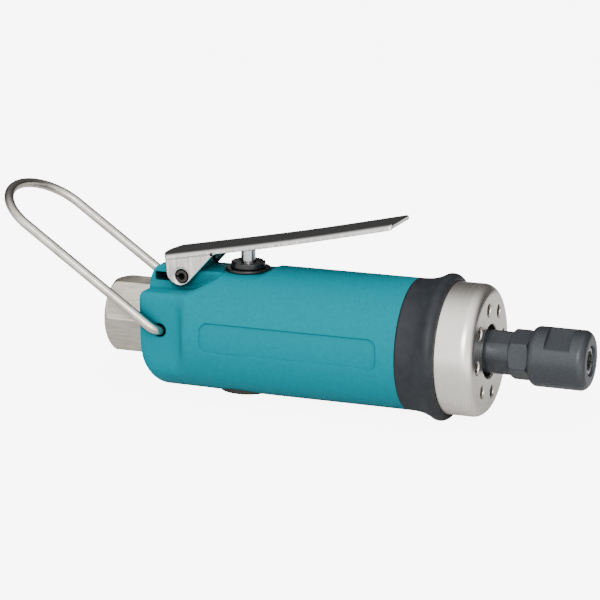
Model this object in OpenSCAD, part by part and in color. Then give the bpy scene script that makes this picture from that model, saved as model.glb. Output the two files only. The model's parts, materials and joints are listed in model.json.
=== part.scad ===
// Straight air die grinder: vane motor, lever throttle, 6.35 mm collet, hanging bail.
// +X runs along the spindle and out of the collet, +Z points up to the lever.
// The origin is the centre of the collet's mouth. Lengths along X in the sections
// below are counted back from the front cap's face, which is nose_len behind it.

/* [Housing] */
// Radius of the housing where it meets the rubber ring
body_r = 21.1; // [20.5:0.05:21.3]
// Radius of the housing at its rear shoulder
body_rear_r = 20.8; // [20:0.05:21.1]
// Rear face of the housing, behind the cap's face
body_rear = 114.3; // [114.2:0.1:116]
// Front edge of the coloured skin, behind the cap's face
body_front = 24.8; // [24:0.1:26]
// Rounding of the rear shoulder
shoulder_r = 6.5; // [5:0.1:8]
// Radius of the spigot under the rubber ring
spigot_r = 19.5; // [19:0.05:19.7]
// Half the distance between the two flats at the rear
flat_half = 16.6; // [16:0.1:17.2]
// Where the side flats end, behind the cap's face
flat_end = 101.8; // [100:0.1:102]
// Height of the ledges beside the lever's boss
ledge_z = 12.8; // [12:0.1:14]
// Half the width of the lever's boss
boss_half = 7.2; // [6.8:0.05:7.3]
// Rear face of the boss, behind the cap's face
boss_rear = 114; // [112.5:0.1:114.1]
// Front edge of the boss's top, behind the cap's face
boss_front = 98.3; // [98:0.1:99]
// Rear end of the saddle beside the boss, behind the cap's face
saddle_rear = 88.9; // [88:0.1:91]
// Top of the boss
boss_top = 22; // [21:0.1:22.3]
// Rounding of the boss's rear edge
boss_round = 5; // [3:0.1:6]
// Height of the flat saddle around the valve
saddle_z = 19.2; // [18.8:0.1:19.6]
// Front end of the saddle's flat floor, behind the cap's face
saddle_front = 74.5; // [74:0.1:74.6]

/* [Motor] */
// Radius of the bore that holds the motor
motor_bore_r = 17.2; // [17:0.05:17.4]
// Bottom of that bore, behind the cap's face
motor_bottom = 72; // [71:0.1:73]
// Thickness of the gasket behind the motor
gasket_t = 0.5; // [0.3:0.1:1]
// Thickness of the rear bearing plate
rear_plate_t = 8.6; // [8.2:0.1:9.5]
// Length of the motor cylinder
cylinder_len = 32; // [28:0.5:32]
// Radius of the cylinder's eccentric bore
cylinder_bore_r = 13.9; // [13.7:0.05:14]
// How far the bore stands off the spindle's axis
eccentricity = 1.6; // [1.4:0.05:1.65]
// Thickness of the front bearing plate
front_plate_t = 11.4; // [11:0.1:12]
// Radius of the rotor
rotor_r = 12; // [11.5:0.1:12.1]
// Number of vanes
vane_count = 4; // [3:1:6]
// Thickness of a vane
vane_t = 1.8; // [1.4:0.1:2.2]
// Radius where a vane starts
vane_root_r = 6.4; // [6.2:0.1:7]

/* [Front cap and ring] */
// Outer radius of the front cap
cap_r = 21.1; // [20.6:0.05:21.2]
// Visible length of the front cap
cap_len = 12.1; // [11.5:0.1:12.4]
// Rounding of the cap's front edge
cap_edge_r = 3.8; // [2.5:0.1:4]
// Radius of the opening around the spindle
cap_mouth_r = 8.5; // [8:0.1:8.8]
// Thickness of the cap's front wall
cap_wall = 3.6; // [3:0.1:4]
// Number of exhaust holes
exhaust_count = 8; // [6:1:10]
// Diameter of the circle of exhaust holes
exhaust_pcd = 27.7; // [27:0.1:28.5]
// Radius of an exhaust hole
exhaust_r = 2; // [1.5:0.1:2.2]
// Turn of the hole circle about the spindle
exhaust_turn = 9; // [0:1:44]
// Largest radius of the rubber ring's lip
ring_lip_r = 23.5; // [22.5:0.1:24]
// Radius of the round of that lip
ring_lip_round = 2.4; // [2.2:0.1:2.4]

/* [Spindle and collet] */
// From the cap's face to the collet's mouth
nose_len = 31.8; // [30:0.1:34]
// Radius of the collet body's neck
neck_r = 6.85; // [6.5:0.05:7]
// Distance across the neck's four flats
neck_af = 12.6; // [12:0.1:13]
// Distance across the collet body's hexagon
hex_af = 14; // [13:0.5:14]
// Rear end of the hexagon, ahead of the cap's face
hex_rear = 7.6; // [7:0.1:8]
// Front end of the hexagon, ahead of the cap's face
hex_front = 13.9; // [13:0.1:13.9]
// Radius of the collet nut
nut_r = 9.5; // [9:0.1:10]
// Rear end of the nut, ahead of the cap's face
nut_rear = 14; // [14:0.1:14.4]
// Front end of the nut, ahead of the cap's face
nut_front = 32.5; // [32:0.1:33]
// Distance across the nut's two flats
nut_af = 16; // [15:0.1:17]
// Radius of the nut's front opening
nut_mouth_r = 4.7; // [4.6:0.1:5]
// Radius of the collet's bore, for a 6.35 mm shank
collet_bore_r = 3.2; // [3.175:0.005:3.25]
// Radius of the collet at its mouth
collet_nose_r = 4.45; // [4.3:0.05:4.5]
// Turn of the neck's and the nut's flats about the spindle
flats_turn = 29; // [0:1:89]
// Turn of the hexagon about the spindle
hex_turn = 53; // [0:1:59]

/* [Lever] */
// Full width of the lever
lever_w = 18.8; // [18.4:0.1:19.2]
// Thickness of the lever's sheet
sheet_t = 1.9; // [1.5:0.1:2]
// Outer radius of the bends down to the ears
bend_r = 2.9; // [2.2:0.1:3.2]
// Lever pivot, behind the cap's face
pivot_back = 101.8; // [101:0.1:102.5]
// Height of the lever pivot
pivot_z = 17.25; // [17:0.05:17.5]
// Slope of the lever's rear half
lever_slope = 10.8; // [10:0.1:11]
// Slope of the lever's front half
lever_front_slope = 12.7; // [11:0.1:14]
// Where the two slopes meet, behind the cap's face
lever_knee = 65; // [60:1:70]
// Front end of the lever, behind the cap's face
lever_front = 30.2; // [29:0.1:34]
// Height of the lever's top face over the pivot, square to it
lever_rise = 7.75; // [7.6:0.05:7.9]
// Rounding of the lever's front corners, seen from above
lever_corner_r = 1.5; // [1:0.1:5]
// Radius of the spring pin in the pivot
pin_r = 2; // [1.8:0.05:2.1]

/* [Valve] */
// Valve axis, behind the cap's face
valve_back = 82.2; // [81.6:0.1:82.8]
// Radius of the valve stem
stem_r = 2.36; // [2:0.02:2.4]
// Top of the valve stem
stem_top = 26.55; // [26:0.05:26.6]
// Radius of the bushing's flange
bushing_flange_r = 5.6; // [5.2:0.1:6]
// Radius of the washer under it
washer_r = 7.4; // [7:0.1:7.5]
// Radius of the regulator's head
regulator_r = 9.5; // [9:0.1:9.6]
// Lowest face of the regulator
regulator_z = -20.3; // [-20.6:0.05:-19.8]
// Radius of the regulator's shank
shank_r = 5.93; // [5.8:0.01:5.95]
// Number of coils in the valve spring
spring_turns = 5.5; // [4:0.5:7]
// Radius of the valve spring's wire
spring_wire_r = 0.45; // [0.3:0.05:0.5]

/* [Inlet and bail] */
// Distance across the inlet bushing's hexagon
inlet_af = 23; // [22.2:0.1:23.8]
// Turn of that hexagon about its own axis
inlet_turn = 26; // [0:1:59]
// Height of the inlet's axis above the spindle's axis
inlet_z = 1; // [0:0.1:1.5]
// Rear face of the inlet bushing, behind the cap's face
inlet_rear = 129.4; // [129:0.1:131]
// Rounding of the hexagon's rear edge
inlet_edge_r = 4.6; // [3:0.1:5]
// Wall radius of the inlet's thread
inlet_thread_r = 5.56; // [5.5:0.01:5.9]
// Radius of the bail's wire
wire_r = 1.6; // [1.4:0.05:1.65]
// Distance between the middles of the bail's legs
bail_w = 37.8; // [37.6:0.1:40]
// From the bail's pivot to the middle of the wire at its far end
bail_len = 71.3; // [60:0.5:75]
// Radius of the bends at that end
bail_end_r = 15.5; // [12:0.5:18]
// Bail pivot, behind the cap's face
bail_back = 106.5; // [106:0.1:107]
// Height of the bail's pivot
bail_z = 0.6; // [0:0.1:1]
// Angle of the bail above the tool's axis, backwards
bail_tilt = 34.7; // [0:0.1:90]

/* [Hidden] */
$fn = 96;

gap = 0.05;              // between parts that are fixed to each other
run = 0.05;              // between parts that turn or slide
pin_hole_r = pin_r + 0.03;

// Motor stack, from the bottom of the bore forwards
plate_r = motor_bore_r - gap;
rear_plate_x = -motor_bottom + gasket_t;
cylinder_x = rear_plate_x + rear_plate_t;
front_plate_x = cylinder_x + cylinder_len;
stack_front = front_plate_x + front_plate_t;
rotor_play = 0.3;
rotor_x0 = cylinder_x + rotor_play;
rotor_x1 = front_plate_x - rotor_play;

// Deep-groove bearings: 8 x 22 x 7 at the rear, 10 x 26 x 8 at the front
rear_bore_r = 4;
rear_outer_r = 11;
rear_width = 7;
rear_ball_r = 1.98;
rear_bearing_x = rear_plate_x + gap;
front_bore_r = 5;
front_outer_r = 13;
front_width = 8;
front_ball_r = 2.38;
wave_t = 0.6;
front_bearing_x = stack_front - front_width;
shoulder_x = front_bearing_x - wave_t - gap;

skirt_r = 17.45;
skirt_bore_r = 11.6;
hub_r = 9.5;
felt_r = 16.9;
felt_x0 = -10.4;

flange_t = 2;
washer_t = 0.95;
bushing_r = 5;
valve_bore_r = 6;
seat_top = 5;
seat_t = 2;
upper_port_r = 2.4;
inlet_shank_r = 9;
shank_hole_r = inlet_shank_r + gap;
stop_r = 1;              // cross pin that holds the regulator in
stop_len = 17.6;
stop_x = valve_bore_r - 0.4;
stop_z = -14.8;
seal_z0 = -12.3;         // groove for the regulator's O-ring
seal_z1 = -10.7;
seal_r = 4.5;
groove_x0 = -112.6;      // groove for the O-ring on the inlet's shank
groove_x1 = -110.8;
groove_r = 7.5;
screen_seat_x = -107;
screen_r = 5.2;
poppet_r = 4.3;
poppet_t = 2.2;
poppet_z = seat_top - seat_t - gap;
spring_r = 3.35;
spring_top = poppet_z - poppet_t;
sleeve_floor = -9;
regulator_head_t = 2.9;
oring_r = 0.7;
upper_port_z = 7.2;

// Lever's own axes: u along its rear half, w square to it, from the pivot
function lever_top(back) = pivot_z + lever_rise / cos(lever_slope)
    + (pivot_back - back) * tan(lever_slope);
knee_z = lever_top(lever_knee);
front_z = knee_z + (lever_knee - lever_front) * tan(lever_front_slope);
ear_back = pivot_back + 0.8;
ear_z = pivot_z + 1.45;
ear_r = 4.6;
ear_front_angle = 48;

// Moves a shape drawn from the cap's face to the part's own origin
module from_cap() { translate([-nose_len, 0, 0]) children(); }

// Cylinder along X between two positions
module bar(x0, x1, r) { translate([x0, 0, 0]) rotate([0, 90, 0]) cylinder(h = x1 - x0, r = r); }

// Solid turned about X from an outline of [radius, x] points
module turned(outline) { rotate([0, 90, 0]) rotate_extrude() polygon(outline); }

// Ring along X
module ring(x0, x1, inner, outer) {
    turned([[inner, x0], [outer, x0], [outer, x1], [inner, x1]]);
}

// Ring along Z
module flat_ring(z0, z1, inner, outer) {
    rotate_extrude() polygon([[inner, z0], [outer, z0], [outer, z1], [inner, z1]]);
}

// Prism across the tool, from an outline of [x, z] points
module across(outline, y0, y1) {
    translate([0, y1, 0]) rotate([90, 0, 0]) linear_extrude(y1 - y0) polygon(outline);
}

// Hexagonal prism along X, with a corner turned from the top towards the near side
module hex_bar(x0, x1, af, turn) {
    translate([x0, 0, 0]) rotate([turn, 0, 0]) rotate([0, 90, 0])
        cylinder(h = x1 - x0, r = af / 2 / cos(30), $fn = 6);
}

// Copies for both sides of the tool
module both_sides() {
    children();
    mirror([0, 1, 0]) children();
}

module at_valve() { translate([-valve_back, 0, 0]) children(); }

function arc(cx, cy, r, a0, a1, n = 12) =
    [for (i = [0:n]) let (a = a0 + (a1 - a0) * i / n) [cx + r * cos(a), cy + r * sin(a)]];

// ---------- Housing ----------

// Outer skin: a round barrel, a slight taper behind it to the rounded rear shoulder,
// and a spigot in front
module housing_skin() {
    barrel_rear = -71;
    spigot_front = -cap_len - 0.4;
    turned(concat(
        [[0, -body_rear]],
        arc(body_rear_r - shoulder_r, -body_rear + shoulder_r, shoulder_r, -90, 0),
        [[body_r, barrel_rear], [body_r, -body_front], [spigot_r, -body_front],
         [spigot_r, spigot_front], [0, spigot_front]]
    ));
}

// Block between the lever's ears, with a leaning front face over the saddle's floor
module lever_boss() {
    rise = 4;
    lean = 1.2;
    back = boss_rear - boss_round;
    round_z = boss_top - 1.4 - boss_round;
    across(concat(
        [[-saddle_rear, 0], [-saddle_rear, saddle_z], [-boss_front + lean, saddle_z],
         [-boss_front, boss_top], [-back + rise, boss_top]],
        arc(-back, round_z, boss_round, 90, 180),
        [[-boss_rear, 0]]
    ), -boss_half, boss_half);
}

// Flat on one side at the rear, running out in a concave round
module side_flat() {
    run_out = 4.3;
    tall = 60;
    translate([-body_rear - 1, -flat_half - 2 * run_out, -tall / 2])
        cube([body_rear + 1 - flat_end, 2 * run_out, tall]);
    translate([-flat_end, -flat_half - run_out, -tall / 2])
        cylinder(h = tall, r = run_out);
}

// Space beside the boss for one ear
module ear_recess() {
    high = 40;
    deep = 30;
    toe = 98;
    across([[-body_rear - 1, ledge_z], [-toe, ledge_z], [-toe + 3.4, ledge_z + 2],
            [-saddle_rear, ledge_z + 5], [-saddle_rear, high], [-body_rear - 1, high]],
            -deep, -boss_half);
}

// Space above the ledge behind the boss
module boss_clearance() {
    high = 40;
    wide = 30;
    across([[-body_rear - 1, ledge_z], [-boss_rear, ledge_z], [-boss_rear, high],
            [-body_rear - 1, high]], -wide, wide);
}

// Flat floor around the valve, with a sloping front wall
module saddle() {
    high = 40;
    wide = 30;
    rise = 4;
    across([[-boss_rear - 1, saddle_z], [-saddle_front, saddle_z],
            [-saddle_front + rise, saddle_z + rise], [-saddle_front + rise, high],
            [-boss_rear - 1, high]], -wide, wide);
}

// Everything bored out of the housing
module housing_bores() {
    inlet_end = 100;
    air_way_r = 4;
    deep = 30;
    recess_top = -17.3;
    bail_hole = 6.2;
    countersink = 0.5;
    pocket = [5.9, 3.2, 2.75];
    bar(-motor_bottom, 0, motor_bore_r);
    bar(-cap_len - 8, 0, skirt_r + gap);
    translate([0, 0, inlet_z]) bar(-body_rear - 1, -inlet_end, shank_hole_r);
    bar(-inlet_end - 1, -valve_back, air_way_r);
    translate([0, 0, upper_port_z]) bar(-valve_back, -motor_bottom + 1, upper_port_r);
    at_valve() {
        translate([0, 0, -deep]) cylinder(h = deep + seat_top, r = valve_bore_r);
        cylinder(h = deep, r = bushing_r + gap);
        translate([0, 0, -deep]) cylinder(h = deep + recess_top, r = regulator_r + 0.3);
        translate([stop_x, -stop_len / 2 - 0.2, stop_z]) rotate([-90, 0, 0])
            cylinder(h = deep, r = stop_r + gap);
    }
    translate([-pivot_back, 0, pivot_z]) rotate([90, 0, 0])
        cylinder(h = 2 * deep, r = pin_hole_r, center = true);
    both_sides() translate([-bail_back, -flat_half, bail_z]) rotate([90, 0, 0]) {
        translate([0, 0, -bail_hole]) cylinder(h = 2 * bail_hole, r = wire_r + run);
        translate([0, 0, -countersink])
            cylinder(h = countersink + 0.1, r1 = wire_r + run, r2 = wire_r + 0.6);
    }
    both_sides() translate([-111.9, -boss_half - 1, 14.95]) cube(pocket);
}

module housing() {
    color([0.13, 0.58, 0.62]) from_cap() difference() {
        union() {
            difference() {
                housing_skin();
                both_sides() ear_recess();
                boss_clearance();
                saddle();
            }
            lever_boss();
        }
        both_sides() side_flat();
        housing_bores();
    }
}

// ---------- Inlet ----------

module inlet_bushing() {
    shank_front = -103;
    thread_len = 15;
    color([0.72, 0.71, 0.69]) from_cap() translate([0, 0, inlet_z]) difference() {
        union() {
            intersection() {
                hex_bar(-inlet_rear, -body_rear - gap, inlet_af, inlet_turn);
                corner_r = inlet_af / 2 / cos(30) + 0.2;
                turned(concat(
                    [[0, -inlet_rear]],
                    arc(corner_r - inlet_edge_r, -inlet_rear + inlet_edge_r, inlet_edge_r, -90, 0),
                    [[corner_r, -body_rear], [0, -body_rear]]
                ));
            }
            bar(-body_rear - 0.5, shank_front, inlet_shank_r);
        }
        bar(-inlet_rear - 1, -inlet_rear + thread_len, inlet_thread_r);
        bar(-inlet_rear + thread_len, screen_seat_x, 4.2);
        bar(screen_seat_x, shank_front + 1, screen_r + 0.1);
        ring(groove_x0, groove_x1, groove_r, 20);
    }
}

module inlet_oring() {
    color([0.08, 0.08, 0.08]) from_cap() translate([(groove_x0 + groove_x1) / 2, 0, inlet_z])
        rotate([0, 90, 0]) rotate_extrude() translate([groove_r + oring_r + 0.02, 0])
            circle(r = oring_r, $fn = 32);
}

// Perforated disc at the end of the inlet bore
module inlet_screen() {
    holes = 6;
    thick = 0.8;
    x0 = screen_seat_x + 0.1;
    color([0.75, 0.72, 0.62]) from_cap() translate([0, 0, inlet_z]) difference() {
        bar(x0, x0 + thick, screen_r);
        bar(x0 - 1, x0 + thick + 1, 0.8);
        for (i = [0:holes - 1]) rotate([i * 360 / holes, 0, 0])
            translate([0, 0, 3]) bar(x0 - 1, x0 + thick + 1, 0.9);
    }
}

// Bail bent from one wire: two legs, a curved end and two pins turned inwards
module hanging_bail() {
    bend = 3;
    half = bail_w / 2;
    legs = bail_len - bail_end_r;
    pin_end = flat_half - 5.8;
    color([0.8, 0.79, 0.76]) translate([-nose_len - bail_back, 0, bail_z])
        rotate([0, bail_tilt, 0]) {
            both_sides() {
                translate([0, -half + bend, 0]) rotate([-90, 0, 0])
                    wire(half - bend - pin_end);
                translate([-bend, -half + bend, 0]) rotate([0, 0, -90]) quarter_bend(bend);
                translate([-bend, -half, 0]) rotate([0, -90, 0]) wire(legs - bend);
                translate([-legs, -half + bail_end_r, 0]) rotate([0, 0, 180])
                    quarter_bend(bail_end_r);
            }
            translate([-bail_len, -half + bail_end_r, 0]) rotate([-90, 0, 0])
                wire(2 * (half - bail_end_r));
        }
}

module wire(length) { cylinder(h = length, r = wire_r, $fn = 48); }

module quarter_bend(r) {
    rotate_extrude(angle = 90) translate([r, 0]) circle(r = wire_r, $fn = 48);
}

// ---------- Lever ----------

// Channel with rounded bends, as wide as the lever, along its rear half
module lever_channel() {
    half = lever_w / 2;
    inner_r = bend_r - sheet_t;
    deep = 14;
    long = 40;
    back = 10;
    rotate([90, 0, 90]) translate([0, 0, -back]) linear_extrude(long)
        difference() {
            rounded_top(half, lever_rise, bend_r, deep);
            rounded_top(half - sheet_t, lever_rise - sheet_t, inner_r, deep + 1);
        }
}

// Rectangle with two rounded upper corners
module rounded_top(half, top, r, deep) {
    translate([-half, top - r - deep]) square([2 * half, deep]);
    translate([-half + r, top - r - deep]) square([2 * (half - r), deep + r]);
    for (s = [-1, 1]) translate([s * (half - r), top - r]) circle(r = r);
}

// Side view of the ears
module ear_outline() {
    tangent = [-ear_back + ear_r * sin(ear_front_angle), ear_z - ear_r * cos(ear_front_angle)];
    reach = 14;
    rotate([90, 0, 0]) linear_extrude(lever_w + 2, center = true) {
        translate([-ear_back, ear_z]) circle(r = ear_r);
        polygon([tangent,
                 tangent + reach * [cos(ear_front_angle), sin(ear_front_angle)],
                 [-ear_back - ear_r, ear_z + reach],
                 [-ear_back - ear_r, ear_z]]);
    }
}

// Flat strip seen from above, with rounded front corners
module strip_plan() {
    half = lever_w / 2;
    rear = 92.5;
    linear_extrude(80, center = true) {
        translate([-rear, -half]) square([rear - lever_front - lever_corner_r, 2 * half]);
        translate([-rear, -half + lever_corner_r])
            square([rear - lever_front, 2 * (half - lever_corner_r)]);
        for (s = [-1, 1]) translate([-lever_front - lever_corner_r, s * (half - lever_corner_r)])
            circle(r = lever_corner_r);
    }
}

module throttle_lever() {
    rear = 100;
    color([0.8, 0.79, 0.77]) from_cap() difference() {
        union() {
            intersection() {
                translate([-pivot_back, 0, pivot_z]) rotate([0, -lever_slope, 0])
                    lever_channel();
                ear_outline();
            }
            intersection() {
                across([[-rear, lever_top(rear)], [-lever_knee, knee_z], [-lever_front, front_z],
                        [-lever_front, front_z - sheet_t / cos(lever_front_slope)],
                        [-lever_knee, knee_z - sheet_t / cos(lever_slope)],
                        [-rear, lever_top(rear) - sheet_t / cos(lever_slope)]], -20, 20);
                strip_plan();
            }
        }
        translate([-pivot_back, 0, pivot_z]) rotate([90, 0, 0]) {
            cylinder(h = 40, r = pin_r + 0.06, center = true);
            both_ends() translate([0, 0, lever_w / 2 - 0.4])
                cylinder(h = 1, r1 = pin_r + 0.06, r2 = pin_r + 1.2);
        }
    }
}

module both_ends() {
    children();
    mirror([0, 0, 1]) children();
}

// Slotted spring pin through the boss and both ears
module lever_pin() {
    length = lever_w - 0.4;
    bore_r = 1.15;
    color([0.3, 0.3, 0.3]) from_cap() translate([-pivot_back, 0, pivot_z])
        rotate([90, 0, 0]) difference() {
            cylinder(h = length, r = pin_r, center = true);
            cylinder(h = length + 1, r = bore_r, center = true);
            translate([-3, -0.35, -length]) cube([3, 0.7, 2 * length]);
        }
}

// ---------- Valve and regulator ----------

module valve_bushing() {
    flange_z = saddle_z + gap + washer_t;
    top = flange_z + flange_t;
    bottom = 9.6;
    notches = 2;
    color([0.07, 0.07, 0.07]) from_cap() at_valve() difference() {
        rotate_extrude() polygon([
            [stem_r + run, bottom], [bushing_r, bottom], [bushing_r, flange_z],
            [bushing_flange_r, flange_z], [bushing_flange_r, top], [stem_r + run, top]
        ]);
        flat_ring(15.2, 16.7, stem_r - 0.2, 3.9);
        for (i = [0:notches - 1]) rotate([0, 0, 45 + i * 180])
            translate([bushing_flange_r - 1.2, -0.8, top - 0.6]) cube([3, 1.6, 2]);
    }
}

module valve_washer() {
    color([0.09, 0.09, 0.09]) from_cap() at_valve()
        flat_ring(saddle_z + gap / 2, saddle_z + gap / 2 + washer_t, bushing_r + gap, washer_r);
}

module stem_oring() {
    color([0.1, 0.1, 0.1]) from_cap() at_valve() translate([0, 0, 15.95]) rotate_extrude()
        translate([stem_r + run + oring_r + 0.01, 0]) circle(r = oring_r, $fn = 32);
}

module valve_stem() {
    chamfer = 0.5;
    color([0.55, 0.56, 0.57]) from_cap() at_valve() rotate_extrude() polygon([
        [0, poppet_z + gap], [stem_r - 0.3, poppet_z + gap], [stem_r, poppet_z + gap + 0.3],
        [stem_r, stem_top - chamfer], [stem_r - chamfer, stem_top - 0.15], [0, stem_top]
    ]);
}

module valve_poppet() {
    guide_r = 1.5;
    guide_len = 3;
    color([0.12, 0.12, 0.12]) from_cap() at_valve() rotate_extrude() polygon([
        [0, spring_top - guide_len], [guide_r, spring_top - guide_len], [guide_r, spring_top],
        [poppet_r, spring_top], [poppet_r, poppet_z - 0.6], [poppet_r - 0.6, poppet_z],
        [0, poppet_z]
    ]);
}

module valve_seat() {
    color([0.75, 0.6, 0.3]) from_cap() at_valve()
        flat_ring(seat_top - seat_t, seat_top - gap, stem_r + 0.6, valve_bore_r - gap);
}

// Coil of round wire swept up its own helix
module valve_spring() {
    sides = 8;
    steps = 16;
    low = sleeve_floor + spring_wire_r + gap;
    high = spring_top - spring_wire_r - gap;
    rings = spring_turns * steps;
    function at(i) = let (a = 360 * i / steps)
        [for (j = [0:sides - 1]) let (b = 360 * j / sides, r = spring_r + spring_wire_r * cos(b))
            [r * cos(a), r * sin(a), low + (high - low) * i / rings + spring_wire_r * sin(b)]];
    color([0.65, 0.65, 0.66]) from_cap() at_valve() polyhedron(
        points = [for (i = [0:rings]) each at(i)],
        faces = concat(
            [[for (j = [0:sides - 1]) j]],
            [for (i = [0:rings - 1]) for (j = [0:sides - 1]) let (k = (j + 1) % sides)
                [i * sides + j, (i + 1) * sides + j, (i + 1) * sides + k, i * sides + k]],
            [[for (j = [sides - 1:-1:0]) rings * sides + j]]
        )
    );
}

module speed_regulator() {
    head_top = regulator_z + regulator_head_t;
    sleeve_r = 4.6;
    sleeve_top = -0.2;
    color([0.25, 0.23, 0.22]) from_cap() at_valve() difference() {
        rotate_extrude() polygon([
            [0, regulator_z], [regulator_r - 0.4, regulator_z], [regulator_r, regulator_z + 0.4],
            [regulator_r, head_top], [shank_r, head_top],
            [shank_r, stop_z - stop_r - 0.05], [4.55, stop_z - stop_r - 0.05],
            [4.55, stop_z + stop_r + 0.05], [shank_r, stop_z + stop_r + 0.05],
            [shank_r, seal_z0], [seal_r, seal_z0], [seal_r, seal_z1], [shank_r, seal_z1],
            [shank_r, sleeve_top], [sleeve_r, sleeve_top], [sleeve_r, sleeve_floor],
            [0, sleeve_floor]
        ]);
        translate([-8, -3.2, -6.5]) cube([8, 6.4, 8]);
        translate([-6.5, -0.7, regulator_z - 1]) cube([13, 1.4, 2.1]);
    }
}

module regulator_oring() {
    color([0.08, 0.08, 0.08]) from_cap() at_valve()
        translate([0, 0, (seal_z0 + seal_z1) / 2]) rotate_extrude()
            translate([seal_r + oring_r + 0.01, 0]) circle(r = oring_r, $fn = 32);
}

module regulator_pin() {
    color([0.6, 0.6, 0.6]) from_cap() at_valve()
        translate([stop_x, -stop_len / 2, stop_z]) rotate([-90, 0, 0])
            cylinder(h = stop_len, r = stop_r);
}

// ---------- Motor ----------

module motor_gasket() {
    color([0.35, 0.33, 0.3]) from_cap() difference() {
        bar(-motor_bottom + 0.01, rear_plate_x - 0.01, plate_r);
        bar(-motor_bottom - 1, rear_plate_x + 1, 4.6);
        translate([0, 0, upper_port_z]) bar(-motor_bottom - 1, rear_plate_x + 1, upper_port_r);
    }
}

module rear_bearing_plate() {
    color([0.5, 0.5, 0.5]) from_cap() difference() {
        bar(rear_plate_x, cylinder_x - 0.02, plate_r);
        bar(rear_plate_x - 1, rear_bearing_x + rear_width + gap, rear_outer_r + 0.02);
        bar(rear_plate_x - 1, cylinder_x + 1, rear_bore_r + 0.8);
        translate([0, 0, 12.9]) bar(rear_plate_x - 1, cylinder_x + 1, 1.4);
        cylinder_pin_hole();
    }
}

// Hole for the dowel that keeps the cylinder from turning
module cylinder_pin_hole() {
    translate([0, 0, -14.9]) bar(cylinder_x - 4.1, front_plate_x + 3.1, 1.25 + 0.02);
}

module cylinder_pin() {
    color([0.6, 0.6, 0.62]) from_cap() translate([0, 0, -14.9])
        bar(cylinder_x - 4, front_plate_x + 3, 1.25);
}

module motor_cylinder() {
    ports = 5;
    color([0.45, 0.46, 0.48]) from_cap() difference() {
        bar(cylinder_x, front_plate_x - 0.02, plate_r);
        translate([0, 0, eccentricity]) bar(cylinder_x - 1, front_plate_x + 1, cylinder_bore_r);
        for (i = [0:ports - 1]) translate([cylinder_x + 6 + i * 5, 0, 0])
            rotate([90, 0, 0]) cylinder(h = 20, r = 1.5);
        cylinder_pin_hole();
    }
}

module rotor() {
    thread_r = 4;
    color([0.55, 0.55, 0.56]) from_cap() difference() {
        turned([
            [0, rear_plate_x + 0.3], [rear_bore_r - 0.02, rear_plate_x + 0.3],
            [rear_bore_r - 0.02, rotor_x0], [rotor_r, rotor_x0],
            [rotor_r, rotor_x1], [front_bore_r - 0.02, rotor_x1],
            [front_bore_r - 0.02, -17], [thread_r, -17], [thread_r, -3.2], [0, -3.2]
        ]);
        vane_slots(vane_t + 0.1, vane_root_r - 0.2, rotor_r + 1, 1);
    }
}

// One block per vane, laid out around the spindle
module vane_slots(thick, inner, outer, extra) {
    for (i = [0:vane_count - 1]) rotate([i * 360 / vane_count + 45, 0, 0])
        translate([rotor_x0 - extra, -thick / 2, inner])
            cube([rotor_x1 - rotor_x0 + 2 * extra, thick, outer - inner]);
}

module vanes() {
    color([0.42, 0.3, 0.2]) from_cap() vane_slots(vane_t, vane_root_r, rotor_r + 0.15, -0.05);
}

module front_bearing_plate() {
    ports = 8;
    color([0.5, 0.5, 0.5]) from_cap() difference() {
        bar(front_plate_x, stack_front, plate_r);
        bar(shoulder_x, stack_front + 1, front_outer_r + 0.02);
        bar(front_plate_x - 1, stack_front + 1, front_bore_r + 1.2);
        for (i = [0:ports - 1]) rotate([i * 360 / ports + 22.5, 0, 0])
            translate([0, 0, 15.1]) bar(front_plate_x - 1, stack_front + 1, 1.2);
        cylinder_pin_hole();
    }
}

module wave_washer() {
    color([0.6, 0.6, 0.6]) from_cap() ring(shoulder_x + 0.02, shoulder_x + wave_t, 10.6, 12.9);
}

// Races and balls of one bearing: bore, outside, width and ball radius
module bearing_outer(x, bore, outside, width, ball) {
    pitch = (bore + outside) / 2;
    race(x, pitch + 0.55 * ball, outside - 0.01, width, pitch, ball);
}

module bearing_inner(x, bore, outside, width, ball) {
    pitch = (bore + outside) / 2;
    race(x, bore + 0.01, pitch - 0.55 * ball, width, pitch, ball);
}

module race(x, inner, outer, width, pitch, ball) {
    difference() {
        ring(x, x + width, inner, outer);
        translate([x + width / 2, 0, 0]) rotate([0, 90, 0]) rotate_extrude()
            translate([pitch, 0]) circle(r = ball + 0.05);
    }
}

module bearing_balls(x, bore, outside, width, ball, count) {
    pitch = (bore + outside) / 2;
    for (i = [0:count - 1]) rotate([i * 360 / count, 0, 0])
        translate([x + width / 2, 0, pitch]) sphere(r = ball, $fn = 48);
}

module rear_bearing_outer() {
    color([0.7, 0.7, 0.72]) from_cap()
        bearing_outer(rear_bearing_x, rear_bore_r, rear_outer_r, rear_width, rear_ball_r);
}

module rear_bearing_inner() {
    color([0.7, 0.7, 0.72]) from_cap()
        bearing_inner(rear_bearing_x, rear_bore_r, rear_outer_r, rear_width, rear_ball_r);
}

module rear_bearing_balls() {
    color([0.8, 0.8, 0.82]) from_cap()
        bearing_balls(rear_bearing_x, rear_bore_r, rear_outer_r, rear_width, rear_ball_r, 7);
}

module front_bearing_outer() {
    color([0.7, 0.7, 0.72]) from_cap()
        bearing_outer(front_bearing_x, front_bore_r, front_outer_r, front_width, front_ball_r);
}

module front_bearing_inner() {
    color([0.7, 0.7, 0.72]) from_cap()
        bearing_inner(front_bearing_x, front_bore_r, front_outer_r, front_width, front_ball_r);
}

module front_bearing_balls() {
    color([0.8, 0.8, 0.82]) from_cap()
        bearing_balls(front_bearing_x, front_bore_r, front_outer_r, front_width, front_ball_r, 7);
}

module shaft_spacer() {
    color([0.5, 0.5, 0.52]) from_cap()
        ring(stack_front + gap, -17.05, front_bore_r + 0.02, neck_r);
}

// ---------- Front end ----------

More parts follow.
